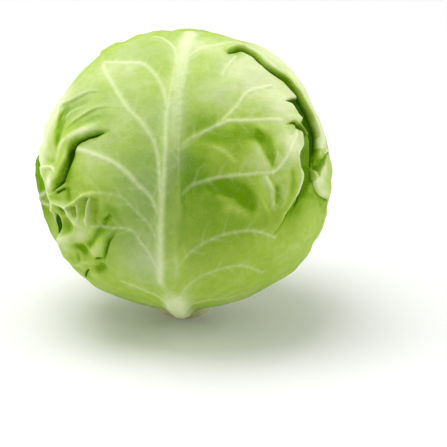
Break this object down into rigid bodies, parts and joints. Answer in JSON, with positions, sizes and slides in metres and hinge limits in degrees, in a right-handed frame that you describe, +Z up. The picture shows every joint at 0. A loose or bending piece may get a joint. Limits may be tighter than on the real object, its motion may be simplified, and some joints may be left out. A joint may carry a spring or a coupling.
{
  "type": "cabbage head",
  "caption": "Round head of white cabbage, its ribbed wrapper leaves closed over a dense inner head, standing on its cut stem.",
  "frame": {"origin": "centre of the stem's cut face, which the head stands on", "axes": "+Z up along the stem, -Y towards the broad front leaf, +X to its right seen from the front"},
  "size_m": [0.181, 0.1784, 0.1751],
  "materials": {
    "wrapper_leaf": "waxy green leaf with pale raised ribs and a soft sheen",
    "inner_leaves": "pale yellow-green leaf, smooth",
    "cut_stem": "moist cream cut face with a darker rind"
  },
  "bodies": {
    "root": {"stem": "cut_stem", "inner_head": "inner_leaves", "leaf_front": "wrapper_leaf", "leaf_right": "wrapper_leaf", "leaf_left": "wrapper_leaf", "leaf_back": "wrapper_leaf", "leaf_inner_right": "inner_leaves", "leaf_inner_left": "inner_leaves"}
  },
  "joints": []
}
